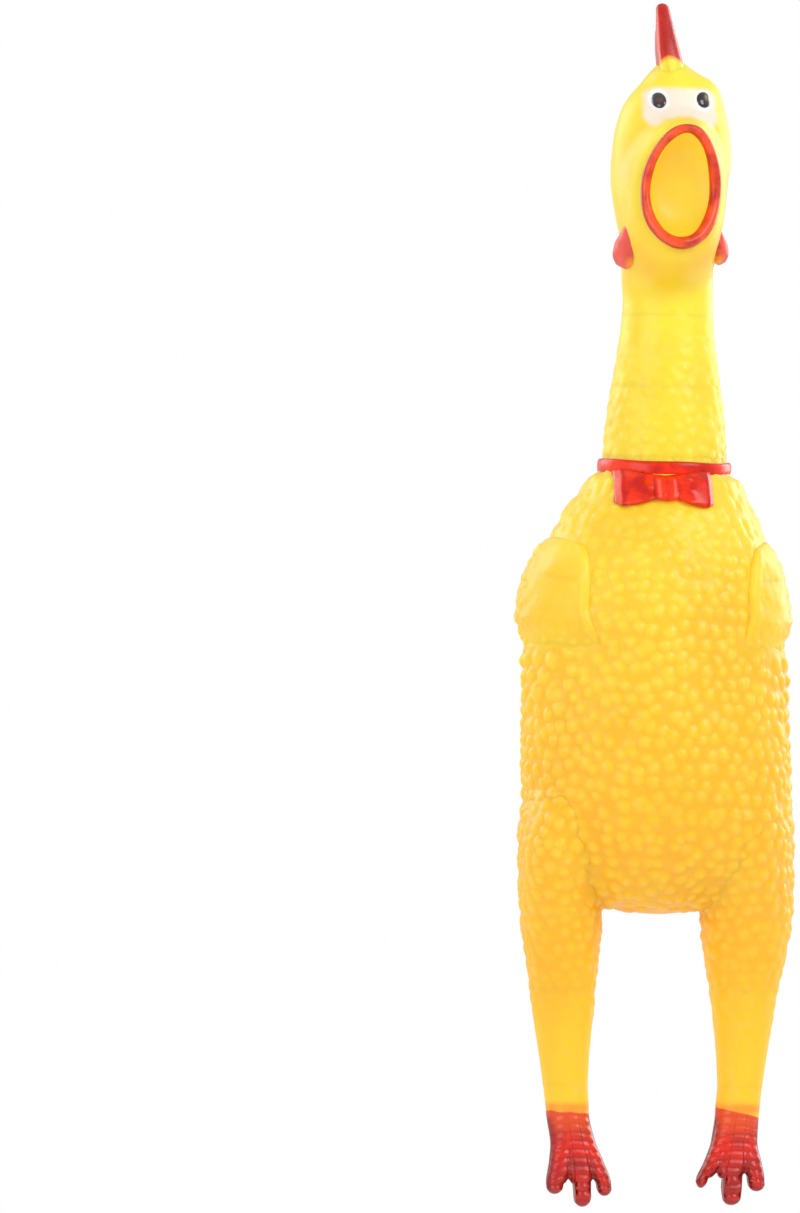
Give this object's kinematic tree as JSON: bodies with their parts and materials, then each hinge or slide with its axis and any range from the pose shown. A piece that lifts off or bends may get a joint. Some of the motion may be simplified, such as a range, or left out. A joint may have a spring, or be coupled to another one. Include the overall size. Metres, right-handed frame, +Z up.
{
  "type": "rubber chicken",
  "caption": "Squeezable soft vinyl chicken with a gaping beak, bow tie, pimpled skin, floppy neck and legs, and a reed squeaker in its throat.",
  "frame": {"origin": "middle of the torso, at the point a hand closes round (mount grip)", "axes": "+Z up to the comb along the neck, -Y the way the chicken faces, +X its own left side"},
  "size_m": [0.0825, 0.07, 0.3499],
  "materials": {
    "yellow_vinyl": "soft satin vinyl, warm yellow, pimpled skin",
    "pale_vinyl": "soft satin vinyl, lighter yellow towards the head",
    "red_paint": "glossy orange-red paint on vinyl",
    "deep_red_paint": "glossy deep red paint on vinyl, thinner at the ankle",
    "eye_paint": "glossy brown-black paint dots",
    "white_plastic": "moulded white plastic",
    "red_plastic": "moulded red plastic",
    "reed_film": "thin translucent plastic reed"
  },
  "bodies": {
    "torso": {"torso_shell": "yellow_vinyl", "wing_left": "yellow_vinyl", "wing_right": "yellow_vinyl", "tail": "yellow_vinyl", "collar_band": "red_paint", "bow_tie": "red_paint"},
    "belly": {"belly_panel": "yellow_vinyl"},
    "neck_lower": {"neck_lower": "yellow_vinyl"},
    "neck_upper": {"neck_upper": "pale_vinyl"},
    "head": {"head_shell": "pale_vinyl", "mouth_lining": "yellow_vinyl", "beak_rim": "red_paint", "eye_left": "eye_paint", "eye_right": "eye_paint", "wattle_left": "red_paint", "wattle_right": "red_paint", "squeaker_barrel": "white_plastic", "squeaker_cap": "white_plastic", "reed_carrier": "red_plastic", "reed_clip": "red_plastic"},
    "comb": {"comb": "red_paint"},
    "reed": {"reed": "reed_film"},
    "thigh_left": {"thigh_left": "yellow_vinyl"},
    "shank_left": {"shank_left": "yellow_vinyl"},
    "foot_left": {"foot_left": "deep_red_paint"},
    "thigh_right": {"thigh_right": "yellow_vinyl"},
    "shank_right": {"shank_right": "yellow_vinyl"},
    "foot_right": {"foot_right": "deep_red_paint"}
  },
  "joints": [
    {"name": "belly_press", "type": "slide", "parent": "torso", "child": "belly", "axis": [0, 1, 0], "range_m": [0, 0.012], "stiffness_N_per_m": 300},
    {"name": "neck_nod", "type": "hinge", "parent": "torso", "child": "neck_lower", "pos_m": [0, 0, 0.08], "axis": [1, 0, 0], "range_deg": [-35, 35], "stiffness_Nm_per_rad": 0.8},
    {"name": "neck_sway", "type": "hinge", "parent": "neck_lower", "child": "neck_upper", "pos_m": [0, 0, 0.1015], "axis": [0, 1, 0], "range_deg": [-35, 35], "stiffness_Nm_per_rad": 0.6},
    {"name": "head_turn", "type": "hinge", "parent": "neck_upper", "child": "head", "pos_m": [0, 0, 0.1177], "axis": [0, 0, 1], "range_deg": [-30, 30], "stiffness_Nm_per_rad": 0.3},
    {"name": "comb_flop", "type": "hinge", "parent": "head", "child": "comb", "pos_m": [0, 0, 0.1835], "axis": [0, 1, 0], "range_deg": [-25, 25], "stiffness_Nm_per_rad": 0.01},
    {"name": "reed_flutter", "type": "hinge", "parent": "head", "child": "reed", "pos_m": [0, -0.00335, 0.1143], "axis": [1, 0, 0], "range_deg": [-2.5, 4], "stiffness_Nm_per_rad": 0.001},
    {"name": "hip_left", "type": "hinge", "parent": "torso", "child": "thigh_left", "pos_m": [0.0277, 0, -0.045], "axis": [1, 0, 0], "range_deg": [-60, 60], "stiffness_Nm_per_rad": 0.2},
    {"name": "knee_left", "type": "hinge", "parent": "thigh_left", "child": "shank_left", "pos_m": [0.0264, 0, -0.092], "axis": [0, -1, 0], "range_deg": [-12, 35], "stiffness_Nm_per_rad": 0.08},
    {"name": "ankle_left", "type": "hinge", "parent": "shank_left", "child": "foot_left", "pos_m": [0.0249, 0, -0.118], "axis": [1, 0, 0], "range_deg": [-35, 35], "stiffness_Nm_per_rad": 0.02},
    {"name": "hip_right", "type": "hinge", "parent": "torso", "child": "thigh_right", "pos_m": [-0.0277, 0, -0.045], "axis": [1, 0, 0], "range_deg": [-60, 60], "stiffness_Nm_per_rad": 0.2},
    {"name": "knee_right", "type": "hinge", "parent": "thigh_right", "child": "shank_right", "pos_m": [-0.0264, 0, -0.092], "axis": [0, 1, 0], "range_deg": [-12, 35], "stiffness_Nm_per_rad": 0.08},
    {"name": "ankle_right", "type": "hinge", "parent": "shank_right", "child": "foot_right", "pos_m": [-0.0249, 0, -0.118], "axis": [1, 0, 0], "range_deg": [-35, 35], "stiffness_Nm_per_rad": 0.02}
  ]
}
